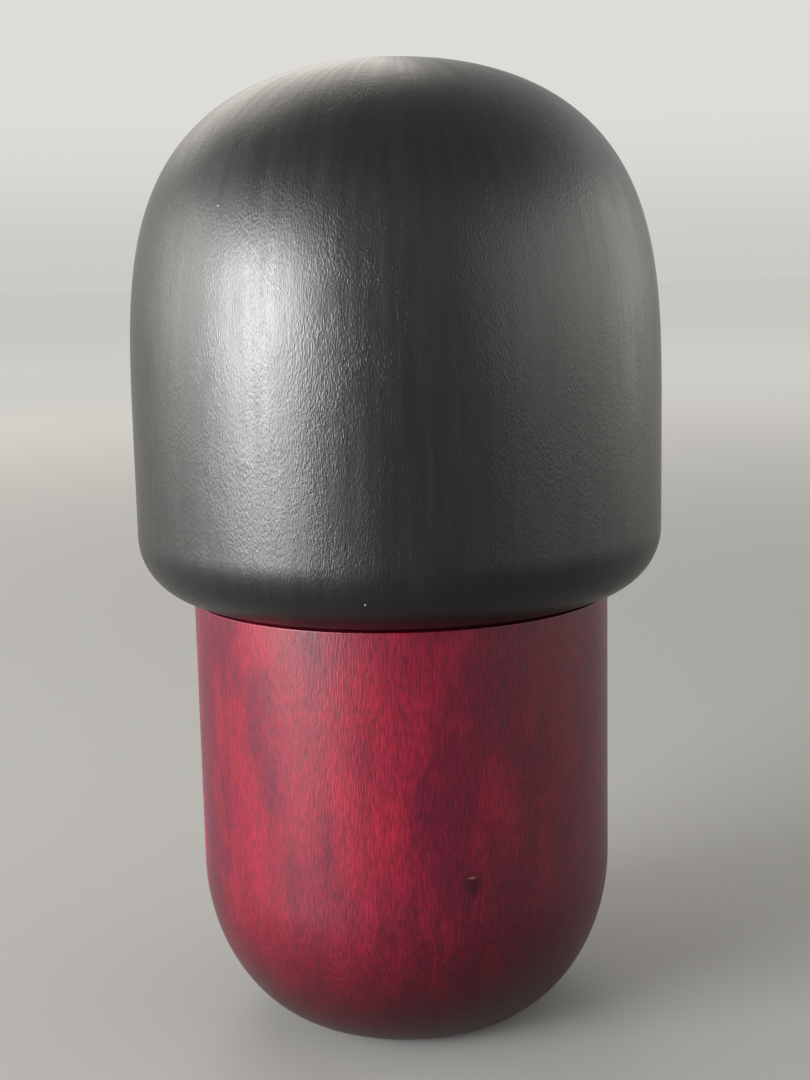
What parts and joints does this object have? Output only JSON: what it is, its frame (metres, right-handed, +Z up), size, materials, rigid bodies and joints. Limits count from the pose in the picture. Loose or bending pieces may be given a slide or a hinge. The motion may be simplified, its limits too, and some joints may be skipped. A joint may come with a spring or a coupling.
{
  "type": "wooden kokeshi doll",
  "caption": "Turned wooden doll with a satin black domed head that turns on a hidden peg, a pale face let into its front, and a crimson dyed body with a rounded foot.",
  "frame": {"origin": "centre of the flat foot, on the surface that the doll stands on", "axes": "+Z up the doll's turning axis towards the crown; -Y the way the face looks; +X the doll's left"},
  "size_m": [0.0988, 0.0985, 0.18],
  "materials": {
    "dyed_body": "crimson dyed turned wood, waxed to a low satin",
    "peg_wood": "bare turned hardwood",
    "black_lacquer": "black paint brushed over turned wood, satin",
    "face_wood": "pale turned wood, waxed, with painted features"
  },
  "bodies": {
    "body": {"body": "dyed_body", "neck_peg": "peg_wood"},
    "head": {"head": "black_lacquer", "face_inlay": "face_wood"}
  },
  "joints": [
    {"name": "head_turn", "type": "hinge", "parent": "body", "child": "head", "pos_m": [0, 0, 0.082], "axis": [0, 0, 1], "continuous": true}
  ]
}
